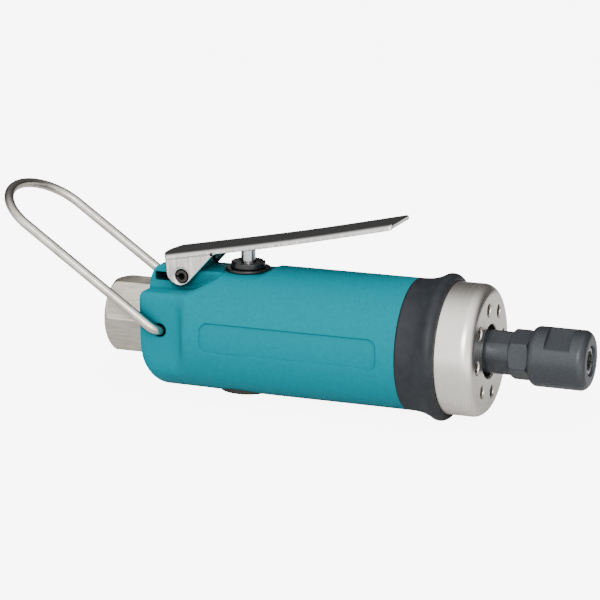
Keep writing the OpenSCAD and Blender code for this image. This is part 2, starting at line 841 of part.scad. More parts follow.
module front_cap() {
    color([0.74, 0.72, 0.69]) from_cap() difference() {
        turned(concat(
            [[hub_r - 1, -12.5], [skirt_bore_r, -12.5], [skirt_bore_r, stack_front + gap],
             [skirt_r, stack_front + gap], [skirt_r, -cap_len], [cap_r, -cap_len]],
            arc(cap_r - cap_edge_r, -cap_edge_r, cap_edge_r, 0, 90),
            [[cap_mouth_r, 0], [cap_mouth_r, -12.5]]
        ));
        ring(-14, -cap_wall, hub_r, felt_r + gap);
        for (i = [0:exhaust_count - 1])
            rotate([exhaust_turn + i * 360 / exhaust_count, 0, 0])
                translate([0, 0, exhaust_pcd / 2]) {
                    bar(-30, 1, exhaust_r);
                    translate([-0.45, 0, 0]) rotate([0, 90, 0])
                        cylinder(h = 0.5, r1 = exhaust_r, r2 = exhaust_r + 0.5);
                }
    }
}

module silencer_ring() {
    color([0.8, 0.78, 0.7]) from_cap() ring(felt_x0, -cap_wall - gap, hub_r + gap, felt_r);
}

module rubber_ring() {
    lip_x = -cap_len - 2.1;
    swell_x = lip_x - 4.6;
    waist_x = lip_x - 7.8;
    lip_centre_r = ring_lip_r - ring_lip_round;
    color([0.2, 0.21, 0.22]) from_cap() turned(concat(
        [[spigot_r + gap, -body_front + gap], [body_r, -body_front + gap],
         [body_r + 0.25, waist_x], [ring_lip_r - 1.4, swell_x]],
        arc(lip_centre_r, lip_x, ring_lip_round, -30, 75),
        [[cap_r + gap, lip_x + ring_lip_round * sin(75)], [cap_r + gap, -cap_len - gap],
         [spigot_r + gap, -cap_len - gap]]
    ));
}

// Neck with four flats, hexagon and the thread that carries the nut
module collet_body() {
    thread_r = 6.6;
    taper_x = 14;
    body_front = 24;
    color([0.17, 0.17, 0.18]) from_cap() difference() {
        union() {
            intersection() {
                bar(-17, hex_rear + 0.1, neck_r);
                neck_square();
            }
            intersection() {
                hex_bar(hex_rear, hex_front, hex_af, hex_turn);
                hex_chamfers();
            }
            bar(hex_front - 0.1, body_front, thread_r);
        }
        bar(-18, -3, 4 + 0.02);
        bar(-3.1, taper_x + 0.1, collet_bore_r + 0.2);
        translate([taper_x, 0, 0]) rotate([0, 90, 0])
            cylinder(h = body_front + 1 - taper_x, r1 = collet_bore_r + 0.7, r2 = 5.9);
    }
}

// Square that leaves the neck's four flats from the cap's face to the hexagon
module neck_square() {
    rotate([flats_turn, 0, 0]) translate([-0.5, -neck_af / 2, -neck_af / 2])
        cube([20, neck_af, neck_af]);
    bar(-18, -0.5, 20);
}

module hex_chamfers() {
    end_r = hex_af / 2 / cos(30) - 0.8;
    slope = 1.6;
    turned([[0, hex_rear], [end_r, hex_rear], [end_r + slope, hex_rear + slope],
            [end_r + slope, hex_front - slope], [end_r, hex_front], [0, hex_front]]);
}

// Split collet with a tapered tail and a straight nose
module collet() {
    slits = 4;
    slit_w = 0.6;
    tail = 14.6;
    shoulder = 24.6;
    shoulder_r = 5.6;
    color([0.78, 0.78, 0.78]) from_cap() difference() {
        turned([
            [collet_bore_r, tail], [collet_bore_r + 0.65, tail], [shoulder_r, shoulder],
            [shoulder_r, shoulder + 1], [collet_nose_r, nut_front - 4.6],
            [collet_nose_r, nose_len - 0.3], [collet_nose_r - 0.3, nose_len],
            [collet_bore_r, nose_len]
        ]);
        for (i = [0:slits - 1]) rotate([i * 90 + 70, 0, 0])
            translate([tail + 3, -slit_w / 2, 0]) cube([40, slit_w, 10]);
    }
}

module collet_nut() {
    thread_r = 6.65;
    chamfer = 1.6;
    rear_r = nut_r - 1.1;
    rear_chamfer = 1.3;
    flat_x0 = 19.5;
    flat_x1 = 27.5;
    color([0.15, 0.15, 0.16]) from_cap() difference() {
        turned([
            [thread_r, nut_rear], [rear_r, nut_rear], [nut_r, nut_rear + rear_chamfer],
            [nut_r, nut_front - chamfer], [nut_r - chamfer, nut_front],
            [nut_mouth_r + 0.6, nut_front], [nut_mouth_r, nut_front - 0.6],
            [nut_mouth_r, nut_front - 4], [thread_r - 0.5, 26], [thread_r, 24.8]
        ]);
        for (i = [0, 1]) rotate([flats_turn + i * 180, 0, 0])
            translate([flat_x0, -10, nut_af / 2]) cube([flat_x1 - flat_x0, 20, 5]);
    }
}

housing();
inlet_bushing();
inlet_oring();
inlet_screen();
hanging_bail();
throttle_lever();
lever_pin();
valve_bushing();
valve_washer();
stem_oring();
valve_stem();
valve_poppet();
valve_seat();
valve_spring();
speed_regulator();
regulator_oring();
regulator_pin();
motor_gasket();
rear_bearing_plate();
rear_bearing_outer();
rear_bearing_balls();
rear_bearing_inner();
motor_cylinder();
cylinder_pin();
rotor();
vanes();
front_bearing_plate();
wave_washer();
front_bearing_outer();
front_bearing_balls();
front_bearing_inner();
shaft_spacer();
front_cap();
silencer_ring();
rubber_ring();
collet_body();
collet();
collet_nut();
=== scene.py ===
"""Straight air die grinder: detailed meshes, materials, floor, light and camera.

The detailed solids are written as distance fields in millimetres, with x counted from
the front cap's face, +x out of the collet, +z up to the lever. A field is negative
inside the solid. round_max and round_min join two fields and leave a true round.
"""
import json
import math

import bmesh
import bpy
import numpy as np
from mathutils import Matrix, Vector


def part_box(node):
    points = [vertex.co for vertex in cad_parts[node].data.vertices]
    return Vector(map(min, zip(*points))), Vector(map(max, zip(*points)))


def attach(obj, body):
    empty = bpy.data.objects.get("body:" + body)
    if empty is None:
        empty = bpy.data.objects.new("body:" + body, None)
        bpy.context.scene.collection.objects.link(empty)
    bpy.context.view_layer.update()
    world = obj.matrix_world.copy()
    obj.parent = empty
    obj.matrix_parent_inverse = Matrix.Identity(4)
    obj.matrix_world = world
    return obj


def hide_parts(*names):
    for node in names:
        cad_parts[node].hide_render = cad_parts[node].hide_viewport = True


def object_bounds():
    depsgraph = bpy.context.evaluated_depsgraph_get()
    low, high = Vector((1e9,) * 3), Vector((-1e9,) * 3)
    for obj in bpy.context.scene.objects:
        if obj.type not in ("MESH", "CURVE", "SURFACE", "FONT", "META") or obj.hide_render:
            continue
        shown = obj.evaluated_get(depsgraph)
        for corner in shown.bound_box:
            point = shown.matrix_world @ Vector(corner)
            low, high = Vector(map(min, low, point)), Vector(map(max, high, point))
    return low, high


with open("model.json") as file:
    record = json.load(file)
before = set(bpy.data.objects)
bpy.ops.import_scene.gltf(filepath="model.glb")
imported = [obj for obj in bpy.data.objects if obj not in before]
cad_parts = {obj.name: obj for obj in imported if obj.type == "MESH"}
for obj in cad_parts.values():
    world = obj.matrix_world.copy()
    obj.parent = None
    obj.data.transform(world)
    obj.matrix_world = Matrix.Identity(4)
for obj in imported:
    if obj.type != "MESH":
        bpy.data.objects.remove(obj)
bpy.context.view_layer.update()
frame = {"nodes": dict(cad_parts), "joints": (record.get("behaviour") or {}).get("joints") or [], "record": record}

MM = 0.001
NODES = frame["nodes"]


# ---------- Places taken from the frame, in millimetres from the cap's face ----------

NOSE = -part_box("front_cap")[1].x / MM


def low(node):
    """Low corner of a node's box."""
    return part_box(node)[0] / MM + Vector((NOSE, 0, 0))


def high(node):
    """High corner of a node's box."""
    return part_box(node)[1] / MM + Vector((NOSE, 0, 0))


def joint_at(name):
    place = next(j["pos_m"] for j in frame["joints"] if j["name"] == name)
    return Vector(place) / MM + Vector((NOSE, 0, 0))


CAP_RADIUS = high("front_cap").z
SKIRT_REAR = low("front_cap").x
RING_FRONT = high("rubber_ring").x
LIP_RADIUS = high("rubber_ring").z
BODY_REAR = low("housing").x
BODY_RADIUS = -low("housing").z
SKIN_FRONT = low("rubber_ring").x
SPIGOT_FRONT = high("housing").x
CAP_REAR = SPIGOT_FRONT + 0.4
INLET_REAR = low("inlet_bushing").x
INLET_FRONT = high("inlet_bushing").x
INLET_Z = (low("inlet_bushing").z + high("inlet_bushing").z) / 2
NUT_REAR = low("collet_nut").x
NUT_FRONT = high("collet_nut").x
NUT_RADIUS = high("collet_nut").z
REGULATOR_LOW = low("speed_regulator").z
REGULATOR_RADIUS = high("speed_regulator").y
STEM_LOW = low("valve_stem").z
STEM_TOP = high("valve_stem").z
FLANGE_TOP = high("valve_bushing").z
FLANGE_RADIUS = high("valve_bushing").y
SADDLE = low("valve_washer").z
LEVER_HALF = high("throttle_lever").y
PIVOT_X = joint_at("lever_hinge").x
PIVOT_Z = joint_at("lever_hinge").z
VALVE_X = joint_at("valve_slide").x
BAIL_X = joint_at("bail_hinge").x
BAIL_Z = joint_at("bail_hinge").z


# ---------- Distance fields ----------

def round_max(a, b, r):
    """Where both solids are, with the outer edge between them rounded to radius r."""
    return np.minimum(-r, np.maximum(a, b)) + np.hypot(np.maximum(a + r, 0), np.maximum(b + r, 0))


def round_min(a, b, r):
    """Where either solid is, with the inner corner between them filled to radius r."""
    return np.maximum(r, np.minimum(a, b)) - np.hypot(np.maximum(r - a, 0), np.maximum(r - b, 0))


def eased(value, start, end):
    """Smooth step from 0 at start to 1 at end."""
    t = np.clip((value - start) / (end - start), 0, 1)
    return t * t * (3 - 2 * t)


def radius(y, z):
    return np.hypot(y, z)


def slab(v, start, end):
    return np.maximum(start - v, v - end)


def below(u, v, at, slope):
    """Where v is under the line through the point at with this slope."""
    return (v - at[1] - slope * (u - at[0])) / math.hypot(1, slope)


def turned_about_x(y, z, degrees):
    """y and z seen in axes turned about X, from +z towards -y."""
    c, s = math.cos(math.radians(degrees)), math.sin(math.radians(degrees))
    return y * c + z * s, z * c - y * s


def regular(y, z, sides, across, degrees, soft):
    """Prism with this many sides and this size across its flats; a flat faces degrees."""
    field = None
    for i in range(sides):
        angle = math.radians(degrees + i * 360 / sides)
        face = z * math.cos(angle) - y * math.sin(angle) - across / 2
        field = face if field is None else round_max(field, face, soft)
    return field


def surface_net(field, start, end, step):
    """Points (in millimetres) and quads around a field's zero level."""
    axes = [np.arange(a - 2 * step, b + 3 * step, step) for a, b in zip(start, end)]
    grid = np.meshgrid(*axes, indexing="ij", sparse=True)
    shape = tuple(len(a) for a in axes)
    value = np.broadcast_to(field(*grid), shape)
    inside = value < 0
    cells, crossings = [], []
    for axis in range(3):
        first = [slice(None)] * 3
        second = [slice(None)] * 3
        first[axis], second[axis] = slice(0, -1), slice(1, None)
        at = np.argwhere(inside[tuple(first)] != inside[tuple(second)])
        step_along = np.eye(3, dtype=int)[axis]
        v0 = value[tuple(at.T)]
        v1 = value[tuple((at + step_along).T)]
        crossing = at + step_along * (v0 / (v0 - v1))[:, None]
        u, v = np.eye(3, dtype=int)[(axis + 1) % 3], np.eye(3, dtype=int)[(axis + 2) % 3]
        around = np.stack([at - u - v, at - v, at, at - u], axis=1)
        leaving = inside[tuple(at.T)]
        around[~leaving] = around[~leaving][:, ::-1]
        cells.append(around.reshape(-1, 3))
        crossings.append(np.repeat(crossing, 4, axis=0))
    cells = np.concatenate(cells)
    crossings = np.concatenate(crossings)
    ids = np.ravel_multi_index(cells.T, shape)
    _, index = np.unique(ids, return_inverse=True)
    count = np.bincount(index)
    points = np.stack([np.bincount(index, crossings[:, i]) / count for i in range(3)], axis=1)
    points = points * step + np.array([a[0] for a in axes])
    return points, index.reshape(-1, 4)


def slope_of(field, points, h):
    """Field and its gradient at each point."""
    def at(offset):
        p = points + offset
        return field(p[:, 0], p[:, 1], p[:, 2])
    gradient = np.stack([at(h * e) - at(-h * e) for e in np.eye(3)], axis=1) / (2 * h)
    return at(0), gradient


def finished(piece, name, material, body, nodes):
    """Names a new piece and ties it to the frame."""
    piece.name = name
    piece.data.materials.clear()
    piece.data.materials.append(material)
    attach(piece, body)
    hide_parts(*nodes)
    return piece


def sculpt(name, field, start, end, step, material, body, nodes):
    """Mesh of a distance field, its points moved onto the exact surface."""
    points, quads = surface_net(field, start, end, step)
    for _ in range(4):
        value, gradient = slope_of(field, points, 0.02)
        length = np.maximum((gradient ** 2).sum(1), 0.25)
        move = -gradient * (value / length)[:, None]
        reach = np.linalg.norm(move, axis=1, keepdims=True)
        points = points + move * np.minimum(1, 0.4 * step / np.maximum(reach, 1e-9))
    normals = slope_of(field, points, 0.04)[1]
    mesh = bpy.data.meshes.new(name)
    mesh.from_pydata(((points - [NOSE, 0, 0]) * MM).tolist(), [], quads.tolist())
    mesh.shade_smooth()
    mesh.normals_split_custom_set_from_vertices(
        (normals / np.maximum(np.linalg.norm(normals, axis=1, keepdims=True), 1e-9)).tolist())
    piece = bpy.data.objects.new(name, mesh)
    bpy.context.scene.collection.objects.link(piece)
    return finished(piece, name, material, body, nodes)


# ---------- Materials ----------

class Nodes:
    """Short calls that add shader nodes to a tree."""

    def __init__(self, tree):
        self.tree = tree

    def node(self, kind, **settings):
        made = self.tree.nodes.new(kind)
        for key, value in settings.items():
            setattr(made, key, value)
        return made

    def link(self, source, target):
        self.tree.links.new(source, target)

    def math(self, operation, a, b=0.0):
        made = self.node("ShaderNodeMath", operation=operation)
        for i, value in enumerate((a, b)):
            if isinstance(value, (int, float)):
                made.inputs[i].default_value = value
            else:
                self.link(value, made.inputs[i])
        return made.outputs[0]

    def ramp(self, source, from_low, from_high, to_low, to_high):
        """Smooth step of a value from one range to another."""
        made = self.node("ShaderNodeMapRange", interpolation_type="SMOOTHSTEP")
        made.inputs["From Min"].default_value = from_low
        made.inputs["From Max"].default_value = from_high
        made.inputs["To Min"].default_value = to_low
        made.inputs["To Max"].default_value = to_high
        self.link(source, made.inputs[0])
        return made.outputs[0]


class Look(Nodes):
    """A material with one Principled shader."""

    def __init__(self, name, color, rough, metallic=0.0, **sockets):
        self.material = bpy.data.materials.new(name)
        self.material.use_nodes = True
        super().__init__(self.material.node_tree)
        self.shader = self.tree.nodes["Principled BSDF"]
        self.shader.inputs["Base Color"].default_value = (*color, 1)
        self.shader.inputs["Roughness"].default_value = rough
        self.shader.inputs["Metallic"].default_value = metallic
        for socket, value in sockets.items():
            self.shader.inputs[socket.replace("_", " ")].default_value = value
        self.coords = self.node("ShaderNodeTexCoord").outputs["Object"]

    def noise(self, scale, detail, where=None):
        made = self.node("ShaderNodeTexNoise")
        made.inputs["Scale"].default_value = scale
        made.inputs["Detail"].default_value = detail
        self.link(where or self.coords, made.inputs["Vector"])
        return made.outputs["Fac"]

    def stretched(self, x, y, z):
        """The object's coordinates, each times a factor."""
        made = self.node("ShaderNodeVectorMath", operation="MULTIPLY")
        self.link(self.coords, made.inputs[0])
        made.inputs[1].default_value = (x, y, z)
        return made.outputs[0]

    def lathe_lines(self):
        """Coordinates that change only along the axis and away from it."""
        part = self.node("ShaderNodeSeparateXYZ")
        self.link(self.coords, part.inputs[0])
        squares = self.math("ADD", self.math("POWER", self.math("ABSOLUTE", part.outputs[1]), 2),
                            self.math("POWER", self.math("ABSOLUTE", part.outputs[2]), 2))
        join = self.node("ShaderNodeCombineXYZ")
        self.link(part.outputs[0], join.inputs[0])
        self.link(self.math("SQRT", squares), join.inputs[1])
        return join.outputs[0]

    def vary_color(self, fac, dark, light):
        ramp = self.node("ShaderNodeValToRGB")
        ramp.color_ramp.elements[0].position, ramp.color_ramp.elements[1].position = 0.3, 0.7
        ramp.color_ramp.elements[0].color = (*dark, 1)
        ramp.color_ramp.elements[1].color = (*light, 1)
        self.link(fac, ramp.inputs[0])
        self.link(ramp.outputs[0], self.shader.inputs["Base Color"])

    def paint_shade_in_corners(self, reach_mm, closed_at, least):
        """Paints shade into the base colour in corners and grooves: at closed_at and less open, darker by the
        factor least.
        """
        around = self.node("ShaderNodeAmbientOcclusion", samples=8)
        around.inputs["Distance"].default_value = reach_mm * MM
        shaded = self.node("ShaderNodeVectorMath", operation="SCALE")
        socket = self.shader.inputs["Base Color"]
        self.link(socket.links[0].from_socket, shaded.inputs[0])
        self.link(self.ramp(around.outputs["AO"], closed_at, 0.95, least, 1), shaded.inputs["Scale"])
        self.link(shaded.outputs[0], socket)

    def vary_rough(self, fac, least, most):
        spread = self.node("ShaderNodeMapRange")
        spread.inputs["To Min"].default_value = least
        spread.inputs["To Max"].default_value = most
        self.link(fac, spread.inputs[0])
        self.link(spread.outputs[0], self.shader.inputs["Roughness"])

    def bump(self, height, strength, depth_mm):
        made = self.node("ShaderNodeBump")
        made.inputs["Strength"].default_value = strength
        made.inputs["Distance"].default_value = depth_mm * MM
        self.link(height, made.inputs["Height"])
        self.link(made.outputs[0], self.shader.inputs["Normal"])


def composite_look():
    look = Look("teal_composite", (0.0, 0.19, 0.238), 0.4, Specular_IOR_Level=0.04)
    look.vary_color(look.noise(900, 4), (0.0, 0.17, 0.213), (0.0, 0.188, 0.236))
    # Painted shade: the teal's colour is darkened in corners, recesses and under the lever, within 6 mm.
    look.paint_shade_in_corners(6, 0.1, 0.12)
    look.vary_rough(look.noise(900, 2), 0.36, 0.48)
    look.bump(look.noise(2200, 3), 0.4, 0.05)
    return look.material


def rubber_look():
    look = Look("dark_rubber", (0.016, 0.018, 0.021), 0.55, Specular_IOR_Level=0.25)
    look.vary_color(look.noise(300, 4), (0.013, 0.015, 0.018), (0.02, 0.022, 0.026))
    look.vary_rough(look.noise(1200, 3), 0.42, 0.6)
    look.bump(look.noise(3000, 3), 0.3, 0.02)
    return look.material


def turned_look(name, color, rough):
    look = Look(name, color, rough, 1.0, Anisotropic=0.5)
    tangent = look.node("ShaderNodeTangent", direction_type="RADIAL", axis="X")
    look.link(tangent.outputs[0], look.shader.inputs["Tangent"])
    lines = look.noise(5200, 2, look.lathe_lines())
    look.vary_rough(look.noise(1500, 2, look.lathe_lines()), rough - 0.05, rough + 0.07)
    look.bump(lines, 0.5, 0.004)
    return look.material


def brushed_look(name, color, rough, along=(0.6, 4, 4)):
    look = Look(name, color, rough, 1.0)
    where = look.stretched(*along)
    look.vary_color(look.noise(300, 4, where), [0.8 * v for v in color], [1.15 * v for v in color])
    look.vary_rough(look.noise(260, 4, where), rough - 0.06, rough + 0.09)
    look.bump(look.noise(420, 4, where), 0.25, 0.01)
    return look.material


def polished_look():
    look = Look("lever_steel", (0.8, 0.78, 0.75), 0.16, 1.0)
    facing = look.node("ShaderNodeSeparateXYZ")
    look.link(look.node("ShaderNodeNewGeometry").outputs["Normal"], facing.inputs[0])
    on_ears = look.ramp(look.math("ABSOLUTE", facing.outputs[1]), 0.6, 0.95, 0.02, 1)
    marks = look.noise(170, 3, look.stretched(6, 1, 1))
    look.vary_rough(on_ears, 0.05, 0.15)
    look.vary_color(look.math("MULTIPLY", marks, on_ears), (0.8, 0.78, 0.75), (0.4, 0.38, 0.35))
    # Painted shade and painted dark reflection: the steel's colour is darkened in the crease, the notch and round
    # the pin.
    look.paint_shade_in_corners(1.4, 0.55, 0.1)
    look.bump(look.math("MULTIPLY", marks, on_ears), 0.3, 0.03)
    return look.material


def oxide_look():
    look = Look("black_oxide", (0.045, 0.049, 0.055), 0.42, 0.5, Specular_IOR_Level=0.25)
    look.vary_color(look.noise(1500, 3), (0.042, 0.046, 0.052), (0.052, 0.057, 0.064))
    look.vary_rough(look.noise(1400, 3), 0.28, 0.42)
    look.bump(look.noise(3800, 2, look.lathe_lines()), 0.25, 0.006)
    return look.material


def plain_look(name, color, rough, metallic=0.0, grain=900):
    look = Look(name, color, rough, metallic)
    look.vary_rough(look.noise(grain, 3), max(rough - 0.08, 0.05), min(rough + 0.08, 1))
    look.bump(look.noise(grain * 2, 3), 0.2, 0.01)
    return look.material


LOOKS = {
    "teal_composite": composite_look(),
    "dark_rubber": rubber_look(),
    "turned_stainless": turned_look("turned_stainless", (0.78, 0.74, 0.68), 0.27),
    "inlet_steel": brushed_look("inlet_steel", (0.57, 0.525, 0.455), 0.3),
    "bail_wire": brushed_look("bail_wire", (0.6, 0.56, 0.5), 0.25, (1, 3, 1)),
    "lever_steel": polished_look(),
    "black_oxide": oxide_look(),
    "bright_steel": turned_look("bright_steel", (0.78, 0.77, 0.75), 0.22),
    # dark_steel: a dark steel, darkened further as painted shade for the regulator knob, which sits in shade under
    # the housing.
    "dark_steel": plain_look("dark_steel", (0.035, 0.03, 0.027), 0.38, 0.6),
    "black_plastic": plain_look("black_plastic", (0.006, 0.006, 0.007), 0.3),
    "seal_rubber": plain_look("seal_rubber", (0.015, 0.015, 0.016), 0.55),
    "seat_brass": plain_look("seat_brass", (0.65, 0.45, 0.18), 0.3, 1.0),
    "motor_iron": plain_look("motor_iron", (0.3, 0.3, 0.3), 0.4, 0.9),
    "vane_phenolic": plain_look("vane_phenolic", (0.2, 0.12, 0.06), 0.6, 0.0, 400),
    # felt: dark grey, partly the felt's own colour and partly painted shade for the cap's holes, where the felt
    # shows.
    "felt": plain_look("felt", (0.1, 0.095, 0.085), 0.95, 0.0, 700),
    "gasket_fibre": plain_look("gasket_fibre", (0.12, 0.11, 0.09), 0.8, 0.0, 500),
}


def dress_frame():
    """Gives every CAD node that stays in view its record slot's material."""
    for part in frame["record"]["subparts"]:
        mesh = NODES[part["node"]].data
        mesh.materials.clear()
        mesh.materials.append(LOOKS[part["material_slot"]])
        mesh.shade_smooth()


# ---------- Housing ----------

FLAT_HALF = 16.6         # half the distance between the rear flats
FLATS_FRONT = -97.5
LEDGE = 12.8             # height of the ledges beside the boss
LEDGE_FRONT = -97.6      # where a ledge starts to slope up
BOSS_HALF = 7.2
BOSS_TOP = 22.0
BOSS_REAR = -114.0
SADDLE_REAR = -88.9      # rear end of the saddle beside the boss
SADDLE_FRONT = -74.5


def barrel(x, y, z):
    """Round skin: straight in front, a slight taper behind, a rounded rear shoulder."""
    taper_from, taper_depth = -71, 0.3
    low_round, high_round = 6.5, 2.2
    shoulder = low_round - (low_round - high_round) * eased(z, 1, 10)
    taper = taper_depth / (taper_from - BODY_REAR - low_round)
    skin = radius(y, z) - BODY_RADIUS + np.maximum(taper_from - x, 0) * taper
    skin = round_max(skin, BODY_REAR - x, shoulder)
    return round_max(skin, x - SKIN_FRONT, 0.4)


def boss(x, y, z):
    """Block between the lever's ears; its upper part ends in a face that leans back."""
    foot_rear = BOSS_REAR + 9
    top = round_max(z - BOSS_TOP, below(x, z, (-108.2, 21.4), 0.167), 3)
    rear = round_max(top, BOSS_REAR - x, 6.5)
    leaning = below(z, x, (SADDLE, -97.1), -0.43)
    upper = round_max(rear, leaning, 0.8)
    foot = np.maximum(np.maximum(z - SADDLE, x - SADDLE_REAR), foot_rear - x)
    profile = round_min(upper, foot, 0.8)
    return np.maximum(round_max(profile, np.abs(y) - BOSS_HALF, 0.7), -z)


def side_panel(x, y, z):
    """Outline of the shallow recess on the near side of the barrel."""
    middle, half_length = (-61.0, 0.45), (30.1, 5.15)
    along = np.abs(x - middle[0]) - half_length[0]
    across = np.abs(z - middle[1]) - half_length[1]
    return np.maximum(round_max(along, across, 3.0), y)


def housing(x, y, z):
    flats = round_min(np.abs(y) - FLAT_HALF, FLATS_FRONT - x, 4.3)
    saddle = round_min(z - SADDLE, below(x, z, (SADDLE_FRONT, SADDLE), 1.05), 1.5)
    ledge = round_min(z - LEDGE, below(x, z, (LEDGE_FRONT, LEDGE), 0.62), 2.0)
    ledge = round_min(ledge, SADDLE_REAR - x, 0.6)
    ledge = round_max(ledge, BODY_REAR - x, 2.2)
    boss_root = 0.9 + 1.2 * eased(-x, 100, 106)
    panel_depth, panel_edge = 0.6, 0.5
    solid = round_max(barrel(x, y, z), saddle, 1.0)
    solid = round_max(solid, ledge, 1.3)
    solid = round_min(solid, boss(x, y, z), boss_root)
    solid = round_max(solid, flats, 1.8)
    solid = solid + panel_depth * eased(-side_panel(x, y, z), 0, panel_edge)
    for hole in housing_holes(x, y, z):
        solid = round_max(solid, -hole, 0.25)
    return round_max(solid, -bail_holes(x, y, z), 0.55)


def bail_holes(x, y, z):
    """Holes for the bail's pins, wider near the flats."""
    pin_hole, pin_depth = 1.75, 10.4
    mouth, mouth_depth = 2.1, 13.4
    r = np.hypot(x - BAIL_X, z - BAIL_Z)
    return np.minimum(np.maximum(r - pin_hole, pin_depth - np.abs(y)),
                      np.maximum(r - mouth, mouth_depth - np.abs(y)))


def housing_holes(x, y, z):
    """Everything else bored out of the housing."""
    motor_bore, motor_bottom = 17.2, -72
    skirt_bore, skirt_bottom = 17.5, -19.6
    shank_bore, shank_bottom = 9.05, -100
    air_way = 4
    valve_bore, bushing_bore = 6, 5.05
    regulator_room = REGULATOR_RADIUS + 0.35
    pin_bore = 2.05
    r = radius(y, z)
    about_valve = np.hypot(x - VALVE_X, y)
    pocket = round_max(slab(x, -111.9, -106.0), slab(z, 14.95, 17.7), 0.4)
    return [
        np.maximum(r - motor_bore, motor_bottom - x),
        np.maximum(r - skirt_bore, skirt_bottom - x),
        np.maximum(radius(y, z - INLET_Z) - shank_bore, x - shank_bottom),
        np.maximum(r - air_way, slab(x, shank_bottom - 1, VALVE_X)),
        np.maximum(about_valve - valve_bore, slab(z, -18, 5)),
        np.maximum(about_valve - bushing_bore, -z),
        np.maximum(about_valve - regulator_room, z + 17.3),
        np.hypot(x - PIVOT_X, z - PIVOT_Z) - pin_bore,
        np.maximum(pocket, 0.8 - np.abs(y)),
    ]


def spigot(x, y, z):
    """Thin wall in front of the skin, under the rubber ring."""
    r = radius(y, z)
    return np.maximum(slab(r, 17.5, 19.5), slab(x, SKIN_FRONT - 2, SPIGOT_FRONT))


def whole_housing(x, y, z):
    return np.minimum(housing(x, y, z), spigot(x, y, z))


def make_housing():
    reach = BODY_RADIUS
    sculpt("housing_shell", whole_housing, (BODY_REAR, -reach, -reach),
           (SPIGOT_FRONT, reach, BOSS_TOP + 0.2), 0.36, LOOKS["teal_composite"], "housing",
           ["housing"])


# ---------- Front ring and cap ----------

def lathe(name, outline, material, body, nodes, upright_at=None, segments=160):
    """Solid of revolution from a closed outline of [radius, place along the axis].

    The axis is the spindle's, or an upright one at the x upright_at.
    """
    ring = np.array(outline, float)
    points = []
    for angle in np.linspace(0, 2 * math.pi, segments, endpoint=False):
        for r, along in ring:
            a, b = r * math.cos(angle), r * math.sin(angle)
            if upright_at is None:
                points.append((along - NOSE, a, b))
            else:
                points.append((upright_at - NOSE + a, b, along))
    n = len(ring)
    quads = []
    for i in range(segments):
        for k in range(n):
            a, b = i * n + k, i * n + (k + 1) % n
            c, d = ((i + 1) % segments) * n + (k + 1) % n, ((i + 1) % segments) * n + k
            quads.append((a, b, c, d))
    mesh = bpy.data.meshes.new(name)
    mesh.from_pydata([tuple(v * MM for v in p) for p in points], [], quads)
    close_and_smooth(mesh)
    piece = bpy.data.objects.new(name, mesh)
    bpy.context.scene.collection.objects.link(piece)
    return finished(piece, name, material, body, nodes)


def close_and_smooth(mesh):
    """Merges the points on the axis, faces outwards and shades smooth."""
    work = bmesh.new()
    work.from_mesh(mesh)
    bmesh.ops.remove_doubles(work, verts=work.verts, dist=1e-7)
    bmesh.ops.recalc_face_normals(work, faces=work.faces)
    work.to_mesh(mesh)
    work.free()
    mesh.shade_smooth()


def softened(corners, r=0.3, steps=4):
    """Closed outline with each corner replaced by a small round of radius r."""
    out = []
    n = len(corners)
    for i in range(n):
        p = np.array(corners[i], float)
        before, after = np.array(corners[i - 1], float) - p, np.array(corners[(i + 1) % n], float) - p
        length_a, length_b = np.linalg.norm(before), np.linalg.norm(after)
        before, after = before / length_a, after / length_b
        half = math.acos(max(-1, min(1, float(before @ after)))) / 2
        if half < 0.05 or half > math.pi / 2 - 0.02:
            out.append(tuple(p))
            continue
        cut = min(r / math.tan(half), 0.45 * length_a, 0.45 * length_b)
        real = cut * math.tan(half)
        middle = p + (before + after) / np.linalg.norm(before + after) * (real / math.sin(half))
        start, end = p + before * cut - middle, p + after * cut - middle
        turn = math.atan2(start[0] * end[1] - start[1] * end[0], start @ end)
        for k in range(steps + 1):
            angle = turn * k / steps
            c, s = math.cos(angle), math.sin(angle)
            out.append(tuple(middle + [start[0] * c - start[1] * s, start[0] * s + start[1] * c]))
    return out


def make_ring():
    """Rubber exhaust ring: swells towards the front and ends in a round lip."""
    lip, lip_start, lip_end = 2.4, math.radians(-30), math.radians(75)
    rear, inside, clear_of_cap = SKIN_FRONT + 0.1, 19.56, CAP_RADIUS + 0.06
    lip_at = RING_FRONT - lip * math.sin(lip_end)
    swell = LIP_RADIUS - lip + lip * math.cos(lip_start) - BODY_RADIUS
    length = lip_at + lip * math.sin(lip_start) - rear
    rise = [(BODY_RADIUS + t ** 2.6 * swell, rear + t * length)
            for t in np.linspace(0, 1, 18, endpoint=False)]
    roll = [(LIP_RADIUS - lip + lip * math.cos(a), lip_at + lip * math.sin(a))
            for a in np.linspace(lip_start, lip_end, 16)]
    inner = [(clear_of_cap, RING_FRONT), (clear_of_cap, CAP_REAR + 0.1),
             (inside, CAP_REAR + 0.1), (inside, rear)]
    lathe("exhaust_ring", rise + roll + inner, LOOKS["dark_rubber"], "housing",
          ["rubber_ring"])


